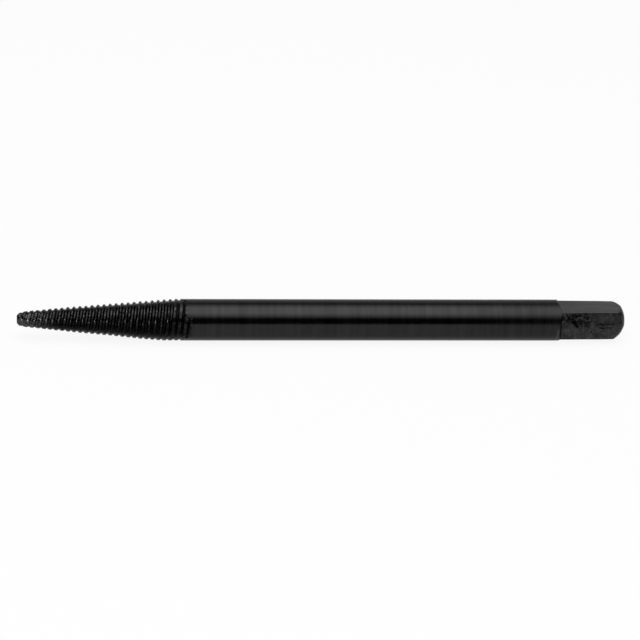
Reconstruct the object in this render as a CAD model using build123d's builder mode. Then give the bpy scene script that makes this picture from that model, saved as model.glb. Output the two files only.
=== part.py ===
from build123d import *
from math import atan, ceil, cos, degrees, radians, tan
import os

os.makedirs("parts", exist_ok=True)

# Driving dimensions, in millimetres and degrees
overall_length = 100.0
shank_diameter = 6.8

# Taper: the solid core under the thread, from the small end to where it meets the shank
taper_length = 27.9
tip_core_diameter = 2.04
tip_flat_diameter = 1.4
tip_chamfer_angle = 40.0

# Thread: two left-hand starts with a flat root, leaning flanks and a narrow crest
thread_starts = 2
crest_spacing = 0.975
thread_depth = 0.33
root_width = 0.3
flank_angle = 38.0
first_crest = 0.31
tip_crest_height = 0.17
lead_in_length = 8.7
crest_relief = 0.03

# Square end that a tap wrench turns, drawn in a little towards the end face
square_length = 10.85
square_width = 4.97
square_end_width = 4.78
shoulder_angle = 55.0
end_rounding_length = 1.8
end_rounding_radius = 3.2
end_flat_diameter = 2.0

# Sizes worked out from those
shank_radius = shank_diameter / 2
tip_core_radius = tip_core_diameter / 2
core_slope = (shank_radius - tip_core_radius) / taper_length
core_angle = degrees(atan(core_slope))
flank_slope = tan(radians(flank_angle))
thread_lead = crest_spacing * thread_starts
slant_pitch = thread_lead / cos(radians(core_angle))

# The extractor lies along X, small end to the left, with its shank on the floor
tip_point = (-overall_length / 2, 0, shank_radius)
side_plane = Plane(origin=tip_point, x_dir=(1, 0, 0), z_dir=(0, -1, 0))
tip_plane = Plane(origin=tip_point, x_dir=(0, 0, 1), z_dir=(1, 0, 0))
centre_line = Axis(tip_point, (1, 0, 0))


def core_radius(distance):
    return tip_core_radius + core_slope * distance


# Blank: left long at the small end so that the thread runs in cleanly. Where the crests
# would stand higher than the shank they are turned down to just under it
tip_waste = 2 * thread_lead
lead_in_radius = core_radius(lead_in_length) + thread_depth
tip_crest_radius = tip_core_radius + tip_crest_height
lead_in_slope = (lead_in_radius - tip_crest_radius) / lead_in_length
waste_radius = tip_crest_radius - lead_in_slope * tip_waste
relieved_radius = shank_radius - crest_relief
crest_end = (relieved_radius - thread_depth - tip_core_radius) / core_slope
plain_start = taper_length + crest_spacing / 2
rounding_start = overall_length - end_rounding_length
end_flat_radius = end_flat_diameter / 2

# Groove: four helices, two at the root and two at the mouth just above the crests,
# joined by leaning walls and cut in runs of two turns that follow end to end
mouth_clearance = thread_depth / 6
mouth_height = thread_depth + mouth_clearance
root_half = root_width / 2
mouth_half = root_half + mouth_height * flank_slope
groove_start = first_crest - crest_spacing / 2 - thread_lead
groove_length = taper_length + crest_spacing - groove_start
run_length = 2 * thread_lead
run_starts = [
    groove_start + run * run_length for run in range(ceil(groove_length / run_length))
]


def groove_edge(distance, height):
    return Helix(
        pitch=slant_pitch,
        height=run_length,
        radius=core_radius(distance) + height,
        center=(0, 0, distance),
        cone_angle=core_angle,
        lefthand=True,
        mode=Mode.PRIVATE,
    )


def groove_run(start):
    edges = [
        groove_edge(start - root_half, 0),
        groove_edge(start + root_half, 0),
        groove_edge(start + mouth_half, mouth_height),
        groove_edge(start - mouth_half, mouth_height),
    ]
    edge_pairs = zip(edges, edges[1:] + edges[:1])
    walls = [Face.make_surface_from_curves(near, far) for near, far in edge_pairs]
    first_cap = Face(Wire.make_polygon([edge @ 0 for edge in edges], close=True))
    last_cap = Face(Wire.make_polygon([edge @ 1 for edge in edges], close=True))
    return Solid(Shell(walls + [first_cap, last_cap]))


# Tip facing: the waste comes off, with a bevel from the small flat out past the crests
tip_flat_radius = tip_flat_diameter / 2
bevel_height = tip_crest_radius - tip_flat_radius + thread_depth
bevel_length = bevel_height * tan(radians(tip_chamfer_angle))

# Flats: one side view of what is milled away, repeated on four sides
square_start = overall_length - square_length
square_half = square_width / 2
square_end_half = square_end_width / 2
shoulder_height = shank_radius - square_half
shoulder_length = shoulder_height / tan(radians(shoulder_angle))
flat_planes = [side_plane.rotated((turn, 0, 0)) for turn in (0, 90, 180, 270)]

with BuildPart() as screw_extractor:
    # Turned blank with its rounded end
    with BuildSketch(side_plane):
        with BuildLine():
            Polyline(
                (overall_length, end_flat_radius),
                (overall_length, 0),
                (-tip_waste, 0),
                (-tip_waste, waste_radius),
                (lead_in_length, lead_in_radius),
                (crest_end, relieved_radius),
                (plain_start, shank_radius),
                (rounding_start, shank_radius),
            )
            RadiusArc(
                (rounding_start, shank_radius),
                (overall_length, end_flat_radius),
                end_rounding_radius,
            )
        make_face()
    revolve(axis=centre_line)

    # Thread grooves, one for each start
    with Locations(tip_plane):
        with PolarLocations(0, thread_starts):
            for start in run_starts:
                add(groove_run(start), mode=Mode.SUBTRACT)

    # Tip faced to length and bevelled
    with BuildSketch(side_plane):
        with BuildLine():
            Polyline(
                (-2 * tip_waste, 0),
                (0, 0),
                (0, tip_flat_radius),
                (bevel_length, tip_flat_radius + bevel_height),
                (-2 * tip_waste, tip_flat_radius + bevel_height),
                close=True,
            )
        make_face()
    revolve(axis=centre_line, mode=Mode.SUBTRACT)

    # Four flats with their sloping shoulders
    with BuildSketch(*flat_planes):
        with BuildLine():
            Polyline(
                (square_start, square_half),
                (overall_length, square_end_half),
                (overall_length, shank_radius),
                (square_start - shoulder_length, shank_radius),
                close=True,
            )
        make_face()
    extrude(amount=shank_radius, both=True, mode=Mode.SUBTRACT)

screw_extractor.part.label = "screw_extractor"
export_step(screw_extractor.part, "parts/screw_extractor.step")
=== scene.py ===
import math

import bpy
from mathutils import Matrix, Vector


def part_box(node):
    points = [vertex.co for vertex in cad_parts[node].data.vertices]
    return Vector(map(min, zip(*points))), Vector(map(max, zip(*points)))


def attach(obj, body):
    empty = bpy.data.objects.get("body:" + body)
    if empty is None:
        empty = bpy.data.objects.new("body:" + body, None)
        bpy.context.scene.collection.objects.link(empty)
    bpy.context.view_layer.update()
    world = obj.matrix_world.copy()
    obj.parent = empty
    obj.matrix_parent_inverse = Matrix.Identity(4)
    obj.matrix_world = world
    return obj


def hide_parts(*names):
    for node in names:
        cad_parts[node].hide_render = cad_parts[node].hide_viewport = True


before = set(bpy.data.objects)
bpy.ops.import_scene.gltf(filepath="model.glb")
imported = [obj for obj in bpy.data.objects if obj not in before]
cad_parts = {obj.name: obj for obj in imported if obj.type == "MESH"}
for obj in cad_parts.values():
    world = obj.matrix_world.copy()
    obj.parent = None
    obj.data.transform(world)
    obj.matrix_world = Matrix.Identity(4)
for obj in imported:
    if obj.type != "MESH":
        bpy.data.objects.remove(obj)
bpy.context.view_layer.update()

# %% [markdown]
# ## The screw extractor
# A screw extractor takes a broken screw out of its hole. Its tapered nose has a coarse
# left-hand thread that bites as it is turned backwards, its shank is a plain rod, and its
# other end is milled square for a tap wrench. The whole tool is one piece of hardened
# steel with a black oxide skin. It lies along X with its nose at the low end, and rests on
# its shank.
#
# The frame gives the overall length and the shank's thickness. The smaller sizes are
# written in millimetres where they are first needed, measured from the tip of the nose.

mm = 0.001
low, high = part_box("screw_extractor")
tool_length = high.x - low.x
shank_radius = (high.z - low.z) / 2
axis_height = (high.z + low.z) / 2
print("length", round(tool_length / mm, 2), "mm, shank", round(2 * shank_radius / mm, 2), "mm")

# %% [markdown]
# ## Sums in a node tree
# The shape of this tool follows a rule: at each place along the axis and each angle round
# it, the surface lies at a known radius. Geometry Nodes can hold such a rule as a chain of
# Math nodes. A long chain is hard to read as code, so a small class lets the value that
# comes out of a node be added, multiplied and compared like a plain number. Each sum still
# makes one ordinary Math node.

# %% A flow is the value that comes out of a node
class Flow:
    def __init__(self, socket):
        self.socket = socket

    def __add__(self, other):
        return math_node("ADD", self, other)

    def __radd__(self, other):
        return math_node("ADD", other, self)

    def __sub__(self, other):
        return math_node("SUBTRACT", self, other)

    def __rsub__(self, other):
        return math_node("SUBTRACT", other, self)

    def __mul__(self, other):
        return math_node("MULTIPLY", self, other)

    def __rmul__(self, other):
        return math_node("MULTIPLY", other, self)

    def __truediv__(self, other):
        return math_node("DIVIDE", self, other)

    def __rtruediv__(self, other):
        return math_node("DIVIDE", other, self)


def plug(value, socket):
    """Links a flow to a socket, or writes a plain number into it."""
    if isinstance(value, Flow):
        socket.id_data.links.new(value.socket, socket)
    else:
        socket.default_value = value


def math_node(operation, *values):
    tree = next(value for value in values if isinstance(value, Flow)).socket.id_data
    node = tree.nodes.new("ShaderNodeMath")
    node.operation = operation
    for value, socket in zip(values, node.inputs):
        plug(value, socket)
    return Flow(node.outputs[0])


# %% The lower and the higher of two values
def lower(first, second):
    return math_node("MINIMUM", first, second)


def higher(first, second):
    return math_node("MAXIMUM", first, second)


def between(value, low_end, high_end):
    return lower(higher(value, low_end), high_end)


trial_tree = bpy.data.node_groups.new("trial", "ShaderNodeTree")
trial_value = Flow(trial_tree.nodes.new("ShaderNodeValue").outputs[0])
between(2 * trial_value + 1, 0.0, 1.0)
print("2 x + 1, held between 0 and 1, takes", len(trial_tree.nodes) - 1, "Math nodes")
bpy.data.node_groups.remove(trial_tree)

# %% [markdown]
# ## A grid that is rolled up
# Both ends of the tool are round about one axis, and a lathe profile with Spin or the
# Screw modifier could make a plain one. Here the profile changes with the angle, so both
# ends start as a flat grid instead. Its rows run along the tool and its columns run round
# it, and each point learns its row and column from its index. The last column repeats the
# first, so the two edges meet when the grid is rolled up, and Merge by Distance joins them.

# %% Rows and columns of a grid
columns = 176


def rolled_grid(tree, rows):
    """A flat grid, with the row of each point and its turn round the axis from 0 to 1."""
    grid = tree.nodes.new("GeometryNodeMeshGrid")
    grid.inputs["Vertices X"].default_value = rows
    grid.inputs["Vertices Y"].default_value = columns + 1
    index = Flow(tree.nodes.new("GeometryNodeInputIndex").outputs[0])
    row = math_node("FLOOR", (index + 0.5) / (columns + 1))
    turn = (index - row * (columns + 1)) / columns
    return grid.outputs["Mesh"], row, turn


print("columns", columns, "one every", round(360 / columns, 2), "degrees")


# %% Rolling the grid up
tip_lift = 0.055 * mm
lifted_share = 0.9


def round_place(tree, distance, radius, angle):
    """A point at a distance from the tip, a radius and an angle round the axis."""
    place = tree.nodes.new("ShaderNodeCombineXYZ")
    plug(distance, place.inputs["X"])
    plug(radius * math_node("SINE", angle), place.inputs["Y"])
    plug(radius * math_node("COSINE", angle), place.inputs["Z"])
    return place


def roll_up(tree, mesh, distance, radius, angle, size):
    """Moves each point of the flat grid to its place on the tool, which lies on the floor."""
    bend = higher(1 - distance / (lifted_share * size["Taper length"]), 0.0)
    place = tree.nodes.new("ShaderNodeCombineXYZ")
    plug(distance - size["Tool length"] / 2, place.inputs["X"])
    plug(radius * math_node("SINE", angle), place.inputs["Y"])
    height = radius * math_node("COSINE", angle) + bend * bend * size["Tip lift"]
    plug(height + size["Axis height"], place.inputs["Z"])
    move = tree.nodes.new("GeometryNodeSetPosition")
    tree.links.new(mesh, move.inputs["Geometry"])
    tree.links.new(place.outputs[0], move.inputs["Position"])
    return move.outputs["Geometry"]


print("the tip is lifted by", round(tip_lift / mm, 3), "mm")

# %% [markdown]
# ## The threaded nose
# The thread is two spiral grooves ground side by side into a cone. A groove could be swept
# along a helix and cut away with a boolean, but that leaves thin and broken faces on a
# thread this fine. A grid with straight rings would cross the crests at a slant and leave
# them ragged like a saw. Here each row of the grid follows the spiral instead: a point's
# distance from the tip grows by one lead as it goes once round. So ten rows are enough for
# each crest, and they lie exactly on the edges of the root, the flanks and the crest.
#
# One row past a full turn is the row of the next groove but one, so the two long edges of
# the sheared grid still meet when it is rolled up. Rows that fall outside the nose are
# held back: past the tip they close the small end face, and past the run-out they gather
# on one ring of the shank.

# %% Sizes of the nose
taper_length = 28.6 * mm
nose_end = 29.6 * mm
tip_core_radius = 1.02 * mm
tip_flat_radius = 0.66 * mm
tip_bevel_angle = math.radians(45)
plain_tip_length = 0.75 * mm

crest_spacing = 0.975 * mm
thread_starts = 2
lead = crest_spacing * thread_starts
thread_depth = 0.33 * mm
root_half_width = 0.12 * mm
flank_angle = math.radians(41)
crest_rounding = 0.02 * mm
first_crest = 0.31 * mm
tip_crest_height = 0.17 * mm
lead_in_length = 8.7 * mm

print("lead", round(lead / mm, 3), "mm, crests", int(taper_length / crest_spacing))

# %% Rows that follow the spiral
rows_per_crest = 10
spiral_start = first_crest - crest_spacing / 2 - 4 * crest_spacing
spiral_crests = math.ceil((nose_end - spiral_start) / crest_spacing) + 1
spiral_rows = spiral_crests * rows_per_crest + 1


def spiral_grid(tree, size):
    """The nose's grid, with each point's turn, its groove's middle, step and side."""
    mesh, row, turn = rolled_grid(tree, spiral_rows)
    groove_number = math_node("FLOOR", (row + 0.5) / rows_per_crest)
    step = row - groove_number * rows_per_crest
    halfway = rows_per_crest / 2
    past_crest = math_node("GREATER_THAN", step, halfway + 0.5)
    groove_number = groove_number + past_crest
    middle = spiral_start + groove_number * size["Crest spacing"] + turn * size["Lead"]
    step = halfway - math_node("ABSOLUTE", step - halfway)
    return mesh, turn, middle, step, 1 - 2 * past_crest


print("rows on the nose", spiral_rows)

# %% [markdown]
# ## Core, run-out and the worn underside
# On the real tool the grooves are cut deepest on the upper rear side. Underneath they are
# shallower and their crests are worn, as if the blank sat a little off the grinder's axis.
# The wheel also lifted out before the taper reached the shank, a little later at the front
# than on top, so the grooves end in a short step and not in a point. Each of these is one
# more term in the rule for the radius, which a modelled cut would need a new shape for.

# %% Core under the thread
underside_rise = 0.23 * mm
deepest_angle = math.radians(25)
early_rise_length = 24 * mm
late_rise_start = 15 * mm
late_rise_length = 10 * mm
run_out_end = 27.15 * mm
run_out_reach = 0.9 * mm
run_out_depth = 0.17 * mm
run_out_step = 0.25 * mm


def beneath(turn):
    """0 where the grooves are deepest, and 1 on the opposite side."""
    share = (1 - math_node("COSINE", turn * math.tau - deepest_angle)) / 2
    return share * share


def raised(distance):
    """Share of the underside's rise: one half comes early and the other half late.

    Each rises at a pace that would take its length to rise in full, and stops halfway.
    """
    early = between(distance / early_rise_length, 0.0, 0.5)
    late = between(distance / late_rise_length - late_rise_start / late_rise_length, 0.0, 0.5)
    return early + late


def open_groove(size, turn, middle):
    """1 along the groove and 0 past its run-out, which lies further on at the front."""
    front = between(-3 * math_node("SINE", turn * math.tau) - 2, 0.0, 1.0)
    run_out = size["Run-out end"] + size["Run-out reach"] * front
    return between((run_out - middle) / run_out_step, 0.0, 1.0)


def core_radius(size, distance, rise, opened):
    """A cone, raised underneath, that is filled up to the shank past the run-out."""
    shank = size["Shank radius"]
    slope = (shank - size["Tip core radius"]) / size["Taper length"]
    core = size["Tip core radius"] + slope * distance + rise * raised(distance)
    core = lower(core, shank - size["Run-out depth"] * opened)
    return higher(core, shank * (1 - opened))


print("full rise at", round((late_rise_start + late_rise_length / 2) / mm, 1), "mm")

# %% [markdown]
# ## Profile of a groove
# Across a groove there are six known places: its middle, the edge of the flat root, the
# middle and the top of the flank, the crest's rounding and its ridge. The points look
# their place up by their step across the groove, with an Index Switch, which is Blender's
# list of values. The same step says how much painted shade the point gets, and the
# material later reads that as an attribute and darkens the flanks with it.

# %% Looking a value up, and marking the points
def pick(tree, number, values):
    """Looks one value up in a list by its number."""
    choice = tree.nodes.new("GeometryNodeIndexSwitch")
    choice.data_type = "FLOAT"
    for _ in values[2:]:
        choice.index_switch_items.new()
    plug(number, choice.inputs["Index"])
    for value, socket in zip(values, list(choice.inputs)[1:]):
        plug(value, socket)
    return Flow(choice.outputs[0])


def mark(tree, mesh, name, value):
    """Stores a value on each point, where the material can read it."""
    store = tree.nodes.new("GeometryNodeStoreNamedAttribute")
    store.inputs["Name"].default_value = name
    tree.links.new(mesh, store.inputs["Geometry"])
    plug(value, store.inputs["Value"])
    return store.outputs["Geometry"]


# %% Height of the crests and painted shade of the walls
underside_wear = 0.35
shallow_height = 0.16 * mm
faint_height = 0.04 * mm
pale_tip_length = 6 * mm


def crest_height(size, middle, core, under):
    """Crests are low at the tip, worn underneath, and never stand above the shank."""
    full, at_tip = size["Thread depth"], size["Tip crest height"]
    height = at_tip + (full - at_tip) * (middle / size["Lead-in length"])
    height = lower(height, full) * (1 - under * size["Underside wear"])
    return higher(lower(height, size["Shank radius"] - core), 0.0)


def painted_groove_shade(tree, step, middle, height):
    """Painted shade on the flanks, and on the root of a shallow groove near the run-out."""
    shallow = between(2.2 - height / shallow_height, 0.0, 1.0)
    shallow = shallow * between(middle / lead - 9, 0.0, 1.0)
    wall_shade = pick(tree, step, [shallow, higher(0.6, shallow), 1.0, 0.5, 0.0, 0.0])
    return wall_shade * between(middle / pale_tip_length, 0.3, 1.0)


print("crests", round(tip_crest_height / mm, 2), "to", round(thread_depth / mm, 2), "mm high")


# %% Places across a groove
def crest_shape(size, height):
    """A crest's rounding, and how far its edge and its ridge lie from the groove's middle."""
    rounding = lower(size["Crest rounding"], height / 4)
    edge = size["Root half width"] + (height - rounding) * size["Flank slope"]
    return rounding, edge, size["Crest spacing"] / 2


def groove_profile(size, height):
    """The six places across half a groove, from its middle to the ridge of the crest."""
    root = size["Root half width"]
    _, edge, ridge = crest_shape(size, height)
    return [0.0, root, (root + edge) / 2, edge, (edge + ridge) / 2, ridge]


print("steps across half a groove", rows_per_crest // 2 + 1)

# %% [markdown]
# ## Wear of the thread
# The crests of the real tool are nicked and its skin is pitted, most of all near the tip.
# Sculpting could do this by hand, but noise that the tree reads at each point's place does
# it evenly all round and gives the same wear each time. One noise lowers the crests and a
# finer one digs the pits.

# %% Cloudy values
def noise(tree, place, scale, stretch=(1, 1, 1), seed=0.0, detail=2.0):
    """Cloudy values about 0.5, with patches about 1 / scale metres across."""
    stretched = tree.nodes.new("ShaderNodeVectorMath")
    stretched.operation = "MULTIPLY"
    tree.links.new(place, stretched.inputs[0])
    stretched.inputs[1].default_value = stretch
    clouds = tree.nodes.new("ShaderNodeTexNoise")
    clouds.noise_dimensions = "4D"
    clouds.inputs["W"].default_value = seed
    clouds.inputs["Scale"].default_value = scale
    clouds.inputs["Detail"].default_value = detail
    tree.links.new(stretched.outputs[0], clouds.inputs["Vector"])
    return Flow(clouds.outputs[0])


# %% Nicked crests and pitted skin
crest_wear = 0.35
nick_scale = 1600
pit_depth = 0.07 * mm
pit_scale = 2600


def nicked_flank(tree, size, place, distance, from_middle, height):
    """Height of a point above the core: up the flank, round the crest, less its wear."""
    rounding, edge, ridge = crest_shape(size, height)
    nicks = between((noise(tree, place, nick_scale, seed=1) - 0.5) * 5, 0.0, 1.0)
    from_ridge = between((ridge - from_middle) / (ridge - edge), 0.0, 1.0)
    flank = higher((from_middle - size["Root half width"]) / size["Flank slope"], 0.0)
    flank = lower(flank, height - rounding * from_ridge * from_ridge)
    flank = flank * (1 - size["Crest wear"] * nicks)
    past_plain_tip = (distance - size["Plain tip length"]) / size["Crest spacing"] * 3
    return flank * between(past_plain_tip, 0.0, 1.0)


def pitted(tree, size, place, distance, core, radius):
    """Pits lower the radius, most of all near the tip, and never on the plain shank."""
    pits = between((noise(tree, place, pit_scale, seed=2) - 0.48) * 6, 0.0, 1.0)
    deepest = size["Pit depth"] * between(1.2 - distance / size["Lead-in length"], 0.3, 1.0)
    return radius - pits * between((size["Shank radius"] - core) / 4, 0.0, deepest)


print("wear", crest_wear, "of a crest, pits", round(pit_depth / mm, 2), "mm deep")

# %% The nose, from its grid to its worn surface
narrowest_ring = 0.12


def threaded_nose(tree, size):
    mesh, turn, middle, step, side = spiral_grid(tree, size)
    angle = turn * math.tau
    under = beneath(turn)
    rise = under * size["Underside rise"]
    opened = open_groove(size, turn, middle)
    height = crest_height(size, middle, core_radius(size, middle, rise, opened), under)

    from_middle = pick(tree, step, groove_profile(size, height))
    distance = middle + from_middle * side
    core = core_radius(size, distance, rise, opened)
    place = round_place(tree, distance, core, angle).outputs[0]
    flank = nicked_flank(tree, size, place, distance, from_middle, height)
    radius = lower(core + flank, size["Shank radius"])
    radius = pitted(tree, size, place, distance, core, radius)

    bevel = size["Tip flat radius"] + higher(distance, 0.0) / size["Tip bevel slope"]
    end_face = 1 + distance / size["Crest spacing"]
    end_face = end_face * math_node("GREATER_THAN", end_face, narrowest_ring)
    radius = lower(radius, bevel) * lower(end_face, 1.0)
    held = between(distance, 0.0, size["Nose end"])

    cut = between(height / faint_height, 0.0, 1.0)
    # Painted shade for the groove walls, stored on the points for the material to read.
    wall_shade = painted_groove_shade(tree, step, middle, height)
    mesh = mark(tree, mesh, "groove_shade_mark", wall_shade * cut)
    mesh = mark(tree, mesh, "thread", cut)
    return roll_up(tree, mesh, held, radius, angle, size)


print("rings narrower than", narrowest_ring, "of the tip close at its pole")

# %% [markdown]
# ## The shank and the square end
# The shank is turned round, four flats are milled on its end, and the end is rounded off
# on a lathe. A cylinder cut by four boxes would give the same outline, but its long thin
# faces shade badly where flats and round meet. The grid here is not sheared, because
# nothing follows the spiral. Its rows come in five bands: the round shank, the sloping
# shoulder that the milling cutter leaves, the flats, the rounded end and the small end
# face. The rings between two bands are not flat. Each point works out where its own line
# along the tool meets the next surface, so the edges are crisp curves in the mesh.
#
# The four flats are not quite alike. The cutter ran a little further on some of them and
# left a steeper shoulder, so each flat looks up its own two values by its number: top,
# rear, bottom, front, and the top again after a full turn. The lower front corner of the
# end is also ground back a little further than the others.

# %% Sizes of the square end
square_length = 10.85 * mm
square_half_width = 2.485 * mm
square_end_half_width = 2.345 * mm
shoulder_slopes = [math.tan(math.radians(angle)) for angle in (60, 55, 60, 68, 60)]
flat_lumps = [depth * mm for depth in (0.006, 0.012, 0.012, 0.045, 0.006)]
lump_scale = 1500

end_rounding_length = 1.8 * mm
end_rounding_radius = 3.2 * mm
end_flat_radius = 1.0 * mm
corner_cut = 0.32 * mm
cut_corner = math.radians(225)

print("square", round(2 * square_half_width / mm, 2), "mm across the flats at its foot")

# %% Middle of the arc that rounds the end
chord_run = end_rounding_length
chord_rise = shank_radius - end_flat_radius
chord = math.hypot(chord_run, chord_rise)
bulge = math.sqrt(end_rounding_radius**2 - (chord / 2) ** 2)
end_arc_height = (shank_radius + end_flat_radius) / 2 - bulge * chord_run / chord
print("the end's arc has its middle", round(end_arc_height / mm, 3), "mm above the axis")

# %% Bands of rows
shank_rows = 40
shoulder_rows = 8
flat_rows = 96
rounded_rows = 16
end_rows = 5
band_rows = [shank_rows, shoulder_rows, flat_rows, rounded_rows, end_rows]


def band_share(row, band):
    """How far a row is through one band, from 0 before it to 1 after it."""
    start = sum(band_rows[:band])
    return between((row - start) / band_rows[band], 0.0, 1.0)


print("rows on the shank and the square", sum(band_rows) + 1)

# %% [markdown]
# ## Tears on the front flat
# The front flat of the real tool was cut roughly: short dents run down from the shoulder,
# and thin scratches lie nearer the end. Each is a short line with its own width. A point
# of the flat measures how near it is to each line, and noise bends the lines and breaks
# them up. The mesh is dented there, and the material paints shade into the same places,
# because both read the same function.

# %% Short lines, in millimetres along and up the flat, with half their width
tear_wander = 0.4 * mm
tear_depth = 0.13 * mm
wander_scale = 2200
front_tears = []
for start_along, start_up, end_along, end_up, half_width in (
    (89.9, 2.16, 90.2, 1.62, 0.26),
    (90.2, 1.62, 90.6, 1.0, 0.16),
    (90.6, 1.0, 91.3, 0.43, 0.2),
    (91.3, 0.43, 91.9, -0.25, 0.16),
    (91.6, 2.52, 92.3, 2.17, 0.22),
    (92.3, 2.17, 92.9, 1.71, 0.24),
    (92.9, 1.71, 93.6, 1.26, 0.16),
    (92.7, 2.31, 93.1, 2.28, 0.2),
    (91.0, 2.27, 91.3, 2.21, 0.16),
    (91.4, 1.83, 91.6, 1.7, 0.16),
    (91.3, 0.85, 91.4, 0.94, 0.14),
    (95.6, 0.41, 96.4, 0.22, 0.18),
    (96.9, 0.33, 97.9, 0.36, 0.14),
    (95.6, -0.37, 97.6, -0.33, 0.1),
    (96.8, 2.48, 97.2, 2.31, 0.2),
    (97.5, 2.33, 98.1, 2.31, 0.18),
    (96.9, 2.04, 97.1, 1.97, 0.14),
    (96.9, -0.69, 97.0, -1.79, 0.08),
    (94.2, -0.95, 94.3, -1.1, 0.12),
):
    line = [(start_along * mm, start_up * mm), (end_along * mm, end_up * mm)]
    front_tears.append((line, half_width * mm))

print("tears", len(front_tears), "up to", round(tear_depth / mm, 2), "mm deep")


# %% How deep a point lies in a tear
def from_line(along, up, line):
    """Distance of a point on a flat from one short line."""
    (start_along, start_up), (end_along, end_up) = line
    run, rise = end_along - start_along, end_up - start_up
    share = ((along - start_along) * run + (up - start_up) * rise) / (run**2 + rise**2)
    share = between(share, 0.0, 1.0)
    gap_along = along - start_along - share * run
    gap_up = up - start_up - share * rise
    return math_node("SQRT", gap_along * gap_along + gap_up * gap_up)


def tears(tree, place, along, up):
    """From 0 on the clean flat to 1 at the bottom of a tear."""
    wander = (noise(tree, place, wander_scale, seed=5) - 0.5) * tear_wander
    drift = (noise(tree, place, wander_scale, seed=6) - 0.5) * tear_wander
    deepest = 0.0
    for line, half_width in front_tears:
        near = 1 - from_line(along + wander, up + drift, line) / half_width
        deepest = higher(near, deepest)
    broken = between((noise(tree, place, lump_scale, seed=7) - 0.4) * 10, 0.0, 1.0)
    return deepest * broken


# %% Angles round the square
corner_angle = math.radians(45)
last_share = 1 - 2 / (columns / 4)


def angle_from_flat(turn, half_width, shank, along_shank):
    """The nearest flat, the side of it, and the angle of a point from its middle.

    The last column on each side lies on the flat's edge and the corner strip starts there.
    """
    quarter = turn * 4
    nearest_flat = math_node("FLOOR", quarter + 0.5)
    from_flat = quarter - nearest_flat
    side = math_node("SIGN", from_flat)
    share = math_node("ABSOLUTE", from_flat) * 2

    edge_angle = math_node("ARCCOSINE", lower(half_width / shank, 1.0))
    edge_angle = lower(edge_angle, corner_angle)
    even_angle = last_share * corner_angle
    edge_angle = even_angle + (edge_angle - even_angle) * along_shank
    on_flat = share / last_share * edge_angle
    strip_share = (share - last_share) / (1 - last_share)
    on_strip = edge_angle + strip_share * (corner_angle - edge_angle)
    in_strip = math_node("GREATER_THAN", share, last_share + 0.001)
    return nearest_flat, side, on_flat + (on_strip - on_flat) * in_strip


print("columns on each flat", round(last_share * columns / 4) + 1)


# %% Rounding of the end, and lumps of a rough cut
milled_depth = 0.15 * mm
front_flat = 3.0


def end_swings(size, lean):
    """Angles on the arc of the end where this line of points joins it and leaves it."""
    arc, arc_height = size["End arc radius"], size["End arc height"]
    reach = lower(size["Square end half width"] / lean, size["Shank radius"]) - arc_height
    first_swing = math_node("ARCCOSINE", reach / arc)
    last_swing = math_node("ARCCOSINE", (size["End flat radius"] - arc_height) / arc)
    return first_swing, last_swing


def rough_cut(tree, size, nearest_flat, distance, radius, angle, across_end):
    """The radius after lumps and tears have lowered the points of the flats."""
    place = round_place(tree, distance, radius, angle).outputs[0]
    milled = between((size["Shank radius"] - radius) / milled_depth, 0.0, 1.0)
    milled = milled * (1 - across_end)
    lumps = between((noise(tree, place, lump_scale, seed=3) - 0.5) * 4, 0.0, 1.0)
    radius = radius - milled * lumps * pick(tree, nearest_flat, flat_lumps)
    on_front = math_node("COMPARE", nearest_flat, front_flat, 0.1)
    torn = tears(tree, place, distance, radius * math_node("COSINE", angle))
    return radius - milled * on_front * torn * size["Tear depth"]


print("lumps on the front flat, at most", round(max(flat_lumps) / mm, 3), "mm")


# %% The shank and the square, from their grid to their worn surface
def plain_end(tree, size):
    mesh, row, turn = rolled_grid(tree, sum(band_rows) + 1)
    along_shank, along_shoulder, along_flat, along_round, across_end = [
        band_share(row, band) for band in range(len(band_rows))
    ]
    shank = size["Shank radius"]
    half = size["Square half width"]
    end_half = size["Square end half width"]
    foot = size["Tool length"] - size["Square length"]
    draw_in = (half - end_half) / size["Square length"]
    half_here = half - draw_in * along_flat * size["Square length"]
    nearest_flat, side, local_angle = angle_from_flat(turn, half_here, shank, along_shank)
    angle = nearest_flat * math.radians(90) + side * local_angle
    lean = math_node("COSINE", local_angle)
    shoulder_slope = pick(tree, nearest_flat, shoulder_slopes)

    arc = size["End arc radius"]
    first_swing, last_swing = end_swings(size, lean)
    swing = first_swing + (last_swing - first_swing) * along_round
    corner = math_node("COSINE", angle - cut_corner)
    cut_back = size["Corner cut"] * between((corner - 0.85) * 10, 0.0, 1.0)
    arc_place = size["Tool length"] - arc * math_node("SINE", last_swing)
    round_start = arc_place + arc * math_node("SINE", first_swing) - cut_back
    shoulder_top = foot - higher(shank * lean - half, 0.0) / shoulder_slope

    distance = size["Nose end"] + along_shank * (shoulder_top - size["Nose end"])
    distance = distance + along_shoulder * (foot - shoulder_top)
    distance = distance + along_flat * (round_start - foot)
    distance = distance + arc * (math_node("SINE", swing) - math_node("SINE", first_swing))
    distance = distance + cut_back * along_round

    flat = end_half + draw_in * (size["Tool length"] - distance)
    shoulder = half + (foot - distance) * shoulder_slope
    radius = lower(shank, higher(flat, shoulder) / lean)
    rounded = size["End arc height"] + arc * math_node("COSINE", swing)
    radius = radius + (rounded - radius) * math_node("GREATER_THAN", along_round, 0.001)
    radius = rough_cut(tree, size, nearest_flat, distance, radius, angle, across_end)
    radius = radius * (1 - across_end)
    return roll_up(tree, mesh, distance, radius, angle, size)


# %% [markdown]
# ## One closed skin
# The two grids meet on the ring at the end of the nose. They could stay two meshes, but
# the real tool is one piece without a joint there. Merge by Distance joins them, closes
# the seams and gathers the rows at the two poles. The tree ends by realizing any instances
# and setting the material, and then its result becomes a plain mesh.

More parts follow.
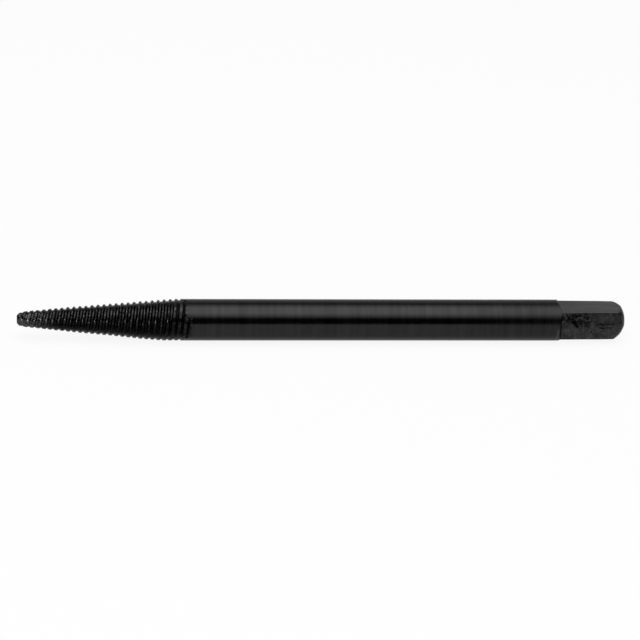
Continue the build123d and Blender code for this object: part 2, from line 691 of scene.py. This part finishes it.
# %% Named inputs of the tree
sizes = {
    "Tool length": tool_length,
    "Axis height": axis_height,
    "Shank radius": shank_radius,
    "Taper length": taper_length,
    "Nose end": nose_end,
    "Tip core radius": tip_core_radius,
    "Tip flat radius": tip_flat_radius,
    "Tip bevel slope": math.tan(tip_bevel_angle),
    "Tip lift": tip_lift,
    "Plain tip length": plain_tip_length,
    "Crest spacing": crest_spacing,
    "Lead": lead,
    "Thread depth": thread_depth,
    "Root half width": root_half_width,
    "Flank slope": math.tan(flank_angle),
    "Crest rounding": crest_rounding,
    "Tip crest height": tip_crest_height,
    "Lead-in length": lead_in_length,
    "Run-out end": run_out_end,
    "Run-out reach": run_out_reach,
    "Run-out depth": run_out_depth,
    "Crest wear": crest_wear,
    "Pit depth": pit_depth,
    "Underside rise": underside_rise,
    "Underside wear": underside_wear,
    "Square length": square_length,
    "Square half width": square_half_width,
    "Square end half width": square_end_half_width,
    "Tear depth": tear_depth,
    "End flat radius": end_flat_radius,
    "End arc radius": end_rounding_radius,
    "End arc height": end_arc_height,
    "Corner cut": corner_cut,
}


def size_inputs(tree, sizes):
    """Gives the tree one named input for each size and returns them as flows."""
    for name in sizes:
        tree.interface.new_socket(name, in_out="INPUT", socket_type="NodeSocketFloat")
    inputs = tree.nodes.new("NodeGroupInput")
    return {name: Flow(inputs.outputs[name]) for name in sizes}


print("sizes that the tree takes", len(sizes))

# %% Node tree of the whole tool
merge_distance = 0.0015 * mm


def tool_tree(material):
    tree = bpy.data.node_groups.new("extractor_shape", "GeometryNodeTree")
    tree.interface.new_socket("Geometry", in_out="OUTPUT", socket_type="NodeSocketGeometry")
    size = size_inputs(tree, sizes)
    join = tree.nodes.new("GeometryNodeJoinGeometry")
    tree.links.new(threaded_nose(tree, size), join.inputs[0])
    tree.links.new(plain_end(tree, size), join.inputs[0])
    merge = tree.nodes.new("GeometryNodeMergeByDistance")
    merge.inputs["Distance"].default_value = merge_distance
    realize = tree.nodes.new("GeometryNodeRealizeInstances")
    paint = tree.nodes.new("GeometryNodeSetMaterial")
    paint.inputs["Material"].default_value = material
    output = tree.nodes.new("NodeGroupOutput")
    tree.links.new(join.outputs[0], merge.inputs["Geometry"])
    tree.links.new(merge.outputs[0], realize.inputs[0])
    tree.links.new(realize.outputs[0], paint.inputs["Geometry"])
    tree.links.new(paint.outputs[0], output.inputs[0])
    print("nodes in the tree of the shape", len(tree.nodes))
    return tree


# %% Running a tree
def shape_object(name, tree, values):
    """Runs a tree on an empty mesh and returns an object with the plain result."""
    carrier = bpy.data.objects.new(name, bpy.data.meshes.new(name + "_start"))
    bpy.context.scene.collection.objects.link(carrier)
    modifier = carrier.modifiers.new("shape", "NODES")
    modifier.node_group = tree
    for item in tree.interface.items_tree:
        if item.in_out == "INPUT" and item.name in values:
            modifier[item.identifier] = values[item.name]
    finished = carrier.evaluated_get(bpy.context.evaluated_depsgraph_get())
    mesh = bpy.data.meshes.new_from_object(finished)
    carrier.modifiers.remove(modifier)
    carrier.data = mesh
    return carrier


# %% [markdown]
# ## Black oxide on steel
# The skin is a thin black oxide on steel, oiled at the factory. It swallows nearly all
# light and throws back only two or three percent of it, like a very dark mirror. A black
# plastic-like shader would look chalky, because it scatters light and adds a clear gloss
# on top. So the surface is a metal whose colour is that small share. How bright a place
# looks comes from what it mirrors, how rough it is, and in some places from light and
# shade painted into that share.
#
# The regions come from Object coordinates: how far a point is along the tool, and whether
# it lies below the round skin of the shank. They stay put when the tool is moved.

# %% Where a point lies on the tool
def ramp(value, start, end):
    """0 where the value is at the start, 1 where it is at the end, and even between."""
    return between((value - start) / (end - start), 0.0, 1.0)


def away(value, middle):
    """Distance of a value from a middle, on either side."""
    return math_node("ABSOLUTE", value - middle)


class Spot:
    """One point of the surface: its place, and how far it lies in each region."""

    def __init__(self, tree):
        self.tree = tree
        self.place = tree.nodes.new("ShaderNodeTexCoord").outputs["Object"]
        split = tree.nodes.new("ShaderNodeSeparateXYZ")
        tree.links.new(self.place, split.inputs[0])
        self.along = Flow(split.outputs["X"]) + tool_length / 2
        self.across = Flow(split.outputs["Y"])
        self.up = Flow(split.outputs["Z"]) - axis_height
        self.out = math_node("SQRT", self.across * self.across + self.up * self.up)
        self.from_foot = self.along - (tool_length - square_length)
        self.below_skin = ramp(self.out, shank_radius, shank_radius - 0.03 * mm)
        self.milled = ramp(self.from_foot, 0.0, 0.1 * mm) * self.below_skin
        self.facing_front = ramp(self.across, -2.2 * mm, -2.3 * mm)
        self.on_front = self.facing_front * self.milled
        above = ramp(self.up + lower(self.across, 0.0), 0.0, 0.1 * mm)
        self.on_top = ramp(self.up, 1.5 * mm, 2.0 * mm) * above * self.milled


print("the square's foot is", round((tool_length - square_length) / mm, 2), "mm from the tip")

# %% [markdown]
# ## Finish of the thread
# The walls of the grooves get painted shade, which leaves the crests and the roots as thin
# lines of light. Painting them by hand would need a map of the whole thread. The grooves
# already marked their walls on the points of the mesh, and the material reads that mark.
# Lumpy noise breaks the lines up, painted shade darkens the underside, the tip is paler.

# %% Tone of the thread
thread_shine = 0.03
shaded_wall_share = 0.1
underside_shade_share = 0.25


def marked(tree, name):
    """Reads a value that the shape tree stored on the points."""
    attribute = tree.nodes.new("ShaderNodeAttribute")
    attribute.attribute_name = name
    return Flow(attribute.outputs["Fac"])


def thread_tone(spot, lumps):
    # Painted shade in the grooves: the marked walls are darkened.
    painted_wall_darkening = 1 - (1 - shaded_wall_share) * marked(spot.tree, "groove_shade_mark")
    # Painted shade: the underside of the nose is darkened.
    painted_underside_shade = ramp(spot.up / higher(spot.out, 0.1 * mm), 0.3, 0.05)
    painted_underside_shade = painted_underside_shade * ramp(spot.along, 3 * mm, 7 * mm)
    painted_underside_shade = painted_underside_shade * ramp(spot.along, 32 * mm, 24 * mm)
    tone = thread_shine * painted_wall_darkening * higher(4.4 * lumps - 1.2, 0.05)
    tone = tone * (1 - (1 - underside_shade_share) * painted_underside_shade)
    return tone * (1 + ramp(spot.along, 6.4 * mm, -1.6 * mm))


print("crests throw back", thread_shine, "of the light, walls", thread_shine * shaded_wall_share)

# %% [markdown]
# ## Finish of the shank and the flats
# The shank was ground round, so it is smooth with faint rings, which are noise stretched
# round the tool. It is a little duller near the square. A pale streak of painted highlight
# lies on its brink beside the front flat, where the sloping shoulder starts.
#
# The flats are lit and shaded copies of one milled finish. The flat on top is painted the
# palest as painted light, and brighter towards the end, with streaks from the cutter. The
# front flat is patchy, with fine curls near the shoulder where the cutter chattered, painted
# shade in its tears, and painted shade that darkens it towards the top. A line of painted
# shadow lies at the foot of its shoulder, with a gap in it, and painted shade dims the
# rounded end above the front flat.

# %% Tone of the shank
plain_shine = 0.0265
brink_highlight_shine = 0.04
brink_gap = 0.62 * mm
brink_half_width = 0.25 * mm


def plain_tone(rings, near_foot):
    return plain_shine * (0.6 + 0.8 * rings) * (1 - 0.1 * near_foot)


def painted_brink_highlight(spot):
    """Painted highlight: the pale streak on the lower front side, just before the shoulder."""
    brink = ramp(away(spot.from_foot, -brink_gap), brink_half_width, 0.0)
    brink = brink * spot.facing_front * ramp(spot.up, 0.0, -0.5 * mm)
    return brink * (1 - spot.below_skin)


print("the shank throws back", plain_shine, "of the light")

# %% Tone of the flats
top_light_shine = 0.11
front_shine = 0.046
rough_patch = [(89.6 * mm, 2.1 * mm), (93.0 * mm, 0.9 * mm)]
rough_patch_reach = 1.1 * mm
curl_scale = 1500
curl_sharpness = 6.5


def top_light_and_streaks(spot, patches):
    streaks = noise(spot.tree, spot.place, 1600, stretch=(0.12, 1, 1), seed=14)
    # Painted light: the top flat is paler than the front one, and brighter towards the end.
    tone = top_light_shine * (0.3 + 0.8 * streaks + 0.4 * patches)
    return tone * (1 + spot.from_foot / (60 * mm))


def front_tone(spot, patches, torn):
    """Patchy, with curls near the shoulder and painted shade. A curl is where noise is 0.5."""
    clouds = noise(spot.tree, spot.place, curl_scale, seed=16, detail=1.0)
    curls = 1 - between(away(clouds, 0.5) * curl_sharpness, 0.0, 1.0)
    from_patch = from_line(spot.along, spot.up, rough_patch)
    crowded = between(1.8 - from_patch / rough_patch_reach, 0.3, 1.0)
    # Painted shade in the tears, on top of the curls and patches of the cut.
    tone = front_shine * (1 - curls * crowded) * (3 * patches - 0.4) * (1 - 0.85 * torn)
    # Painted shade: the front flat darkens towards the top.
    return tone * (0.8 - spot.up / (12 * mm))


def torn_places(spot, lumps):
    """1 inside a tear of the front flat, with ragged edges."""
    deep = tears(spot.tree, spot.place, spot.along, spot.up)
    ragged = between(deep * 2.2 + (lumps - 0.5) * 2.5, 0.0, 1.0)
    return ragged * between(deep * 4, 0.0, 1.0) * spot.on_front


print("the top flat throws back", top_light_shine, "of the light, the front one", front_shine)


# %% Painted shadow at the shoulder's foot, and painted shade on the rounded end
foot_shadow_gap = 0.08 * mm
foot_shadow_top = 1.9 * mm
shadow_gap_up = 0.6 * mm
end_shade_length = 1.6 * mm
end_shade_up = 1.6 * mm


def painted_foot_shadow(spot):
    # Painted shadow: a dark line at the foot of the front shoulder, with a gap in it.
    line = ramp(away(spot.from_foot, -foot_shadow_gap), 0.2 * mm, 0.1 * mm)
    outside_gap = ramp(away(spot.up, shadow_gap_up), 0.15 * mm, 0.45 * mm)
    line = line * spot.facing_front * outside_gap
    return line * ramp(spot.up, foot_shadow_top, foot_shadow_top - 0.2 * mm)


def painted_end_shade(spot):
    # Painted shade: the rounded end is darkened above the front flat.
    rounded = ramp(tool_length - spot.along, end_shade_length, 0.0) * (1 - spot.facing_front)
    rounded = rounded * ramp(spot.across, -0.6 * mm, -1.2 * mm)
    end_shade = rounded * ramp(away(spot.up, end_shade_up), 1.28 * mm, 0.48 * mm)
    return between(end_shade * 3, 0.0, 1.0)


print("the dark line lies", round(foot_shadow_gap / mm, 2), "mm before the square's foot")


# %% The black oxide skin
def black_oxide():
    material = bpy.data.materials.new("black_oxide")
    material.use_nodes = True
    tree = material.node_tree
    shader = tree.nodes["Principled BSDF"]
    shader.inputs["Metallic"].default_value = 1.0
    spot = Spot(tree)
    patches = noise(tree, spot.place, 900, seed=11, detail=4.0)
    grain = noise(tree, spot.place, 3000, seed=12, detail=3.0)
    rings = noise(tree, spot.place, 1500, stretch=(1, 0.06, 0.06), seed=13)
    lumps = noise(tree, spot.place, 2000, seed=15, detail=3.0)
    threaded = marked(tree, "thread")
    torn = torn_places(spot, lumps)
    near_foot = ramp(spot.along, 72 * mm, 84 * mm)

    plain = plain_tone(rings, near_foot)
    shine = plain + (thread_tone(spot, lumps) - plain) * threaded
    # A painted highlight on the brink before the front flat's shoulder.
    shine = shine + brink_highlight_shine * painted_brink_highlight(spot)
    shine = shine + (front_tone(spot, patches, torn) - plain) * spot.on_front
    shine = shine + (top_light_and_streaks(spot, patches) - plain) * spot.on_top
    # Painted shadow at the shoulder's foot, and painted shade on the rounded end.
    shine = shine * (1 - painted_foot_shadow(spot)) * (1 - 0.7 * painted_end_shade(spot))
    tone = tree.nodes.new("ShaderNodeCombineColor")
    for channel in ("Red", "Green", "Blue"):
        plug(shine, tone.inputs[channel])
    tree.links.new(tone.outputs[0], shader.inputs["Base Color"])

    dullness = 0.2 + 0.12 * (rings - 0.5) + 0.06 * threaded + 0.25 * spot.milled
    dullness = dullness + 0.08 * near_foot * (1 - spot.milled)
    plug(dullness + 0.12 * (patches - 0.5), shader.inputs["Roughness"])

    relief = grain * (0.004 * mm + 0.012 * mm * threaded + 0.01 * mm * spot.milled)
    relief = relief + lumps * (0.04 * mm * threaded + 0.05 * mm * spot.on_front)
    bump = tree.nodes.new("ShaderNodeBump")
    bump.inputs["Distance"].default_value = 1.0
    plug(relief - torn * 0.02 * mm, bump.inputs["Height"])
    tree.links.new(bump.outputs[0], shader.inputs["Normal"])
    return material


skin = black_oxide()
print("nodes in the black oxide", len(skin.node_tree.nodes))

# %% The finished body
extractor = shape_object("extractor_body", tool_tree(skin), sizes)
sharp_angle = math.radians(20)
extractor.data.shade_smooth()
extractor.data.set_sharp_from_angle(angle=sharp_angle)
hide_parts("screw_extractor")
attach(extractor, "root")
print("body points", len(extractor.data.vertices), "faces", len(extractor.data.polygons))

# %% [markdown]
# ## Floor
# The tool lies on a plain pale floor. More light would turn the floor white, but it would
# also bleach the tool. So the floor is pale by its own colour, and also shines a little
# for the camera and less for mirrored rays. The picture's ground is then white, and it
# still keeps a soft shadow.

# %% The floor's mesh
floor_reach = 2.0
floor_mesh = bpy.data.meshes.new("floor")
floor_corners = ((-1, -1), (1, -1), (1, 1), (-1, 1))
corners = [(x * floor_reach, y * floor_reach, 0) for x, y in floor_corners]
floor_mesh.from_pydata(corners, [], [(0, 1, 2, 3)])
floor = bpy.data.objects.new("floor", floor_mesh)
bpy.context.scene.collection.objects.link(floor)
print("floor", 2 * floor_reach, "m wide")

# %% The floor's pale paint
seen_share = 0.9
mirrored_share = 0.4
floor_material = bpy.data.materials.new("pale_floor")
floor_material.use_nodes = True
floor_nodes = floor_material.node_tree.nodes
floor_links = floor_material.node_tree.links
floor_shader = floor_nodes["Principled BSDF"]
floor_shader.inputs["Base Color"].default_value = (0.9, 0.9, 0.9, 1)
floor_shader.inputs["Roughness"].default_value = 1.0
floor_shader.inputs["Specular IOR Level"].default_value = 0.0

rays = floor_nodes.new("ShaderNodeLightPath")
camera_ray, glossy_ray, transmission_ray = [
    Flow(rays.outputs[name])
    for name in ("Is Camera Ray", "Is Glossy Ray", "Is Transmission Ray")
]
mirrored = mirrored_share * higher(glossy_ray, transmission_ray)
white = floor_nodes.new("ShaderNodeEmission")
blend = floor_nodes.new("ShaderNodeMixShader")
plug(higher(seen_share * camera_ray, mirrored), blend.inputs["Fac"])
floor_links.new(floor_shader.outputs[0], blend.inputs[1])
floor_links.new(white.outputs[0], blend.inputs[2])
floor_links.new(blend.outputs[0], floor_nodes["Material Output"].inputs["Surface"])
floor_mesh.materials.append(floor_material)
print("the floor shines", seen_share, "of white to the camera,", mirrored_share, "in mirrors")

# %% [markdown]
# ## Light
# A dark mirror shows the lamps themselves, so their shapes matter more than their power.
# One wide soft box overhead gives the bright band along the top of the shank, and a pale
# backdrop behind gives its upper edge a rim of light. The soft box is made of four panels
# that reach different lengths, so that its front and rear edges fade as they do behind
# real diffusing cloth. A small bright card at the front left puts a glint on each crest.
# Nothing else stands in front, which leaves the black band along the near side.

# %% A soft panel
def soft_panel(name, width, depth, brightness, location, tilt, turn=0):
    """A panel whose face has the brightness given, where 1 is white."""
    lamp = bpy.data.lights.new(name, "AREA")
    lamp.shape = "RECTANGLE"
    lamp.size = width
    lamp.size_y = depth
    lamp.energy = brightness * math.pi * width * depth
    lamp_object = bpy.data.objects.new(name, lamp)
    lamp_object.location = location
    lamp_object.rotation_euler = (math.radians(tilt), 0, math.radians(turn))
    bpy.context.scene.collection.objects.link(lamp_object)
    print(name, "brightness", brightness, "power", round(lamp.energy, 2), "W")


# %% A nearly dark room
world = bpy.data.worlds.new("studio")
world.use_nodes = True
world.node_tree.nodes["Background"].inputs["Color"].default_value = (0.01, 0.01, 0.01, 1)
bpy.context.scene.world = world
print("world", world.name)

# %% The panels
softbox_width = 0.8
softbox_step = 0.63
softbox_panels = (
    (-0.86, 0.36, 0.606),
    (-0.66, 0.26, 0.604),
    (-0.5, 0.16, 0.602),
    (-0.37, 0.06, 0.6),
)
for front, rear, height in softbox_panels:
    middle = (front + rear) / 2
    place = (0, middle, height)
    soft_panel("overhead_softbox", softbox_width, rear - front, softbox_step, place, 0)
soft_panel("rear_backdrop", 2.4, 1.2, 0.45, (0, 0.9, 0.6), -90)
soft_panel("side_card", 0.16, 0.16, 15.0, (-0.35, -0.41, 0.11), -90, 139.5)

# %% [markdown]
# ## Camera
# The picture looks down on the tool from the front, a little from the nose's side, and the
# tool lies almost level in it. A Track To constraint could aim the camera, but it can't
# keep the tool level from this side. So the camera's axes are worked out: the picture's
# right is the tool's own axis as the camera sees it, and its up is square to that. The
# lens follows from how wide a strip of the tool's plane fills the picture.

# %% Camera
camera = bpy.data.cameras.new("camera")
camera_object = bpy.data.objects.new("camera", camera)
bpy.context.scene.collection.objects.link(camera_object)
camera_elevation = math.radians(25)
camera_turn = math.radians(6.2)
camera_distance = 0.43
pictured_width = 104.92 * mm
camera_roll = math.radians(0.058)
target = Vector((-0.61 * mm, 0, axis_height - 0.034 * mm))
towards_camera = Vector((
    -math.sin(camera_turn),
    -math.cos(camera_turn) * math.cos(camera_elevation),
    math.cos(camera_turn) * math.sin(camera_elevation),
))
tool_axis = Vector((1, 0, 0))
picture_right = (tool_axis - tool_axis.dot(towards_camera) * towards_camera).normalized()
picture_up = towards_camera.cross(picture_right)
level = Matrix((picture_right, picture_up, towards_camera)).transposed().to_4x4()
stand = Matrix.Translation(target + towards_camera * camera_distance)
camera_object.matrix_world = stand @ level @ Matrix.Rotation(camera_roll, 4, "Z")
camera.sensor_width = 36
camera.lens = camera.sensor_width * camera_distance / pictured_width
camera.clip_start = 0.01
bpy.context.scene.camera = camera_object
print("lens", round(camera.lens, 1), "mm, camera", camera_distance, "m away")

# %% [markdown]
# ## Colour view
# The picture's colours are kept as rendered, with the Standard view transform.

# %% Standard colours, and the end
bpy.context.scene.view_settings.view_transform = "Standard"
bpy.context.view_layer.update()
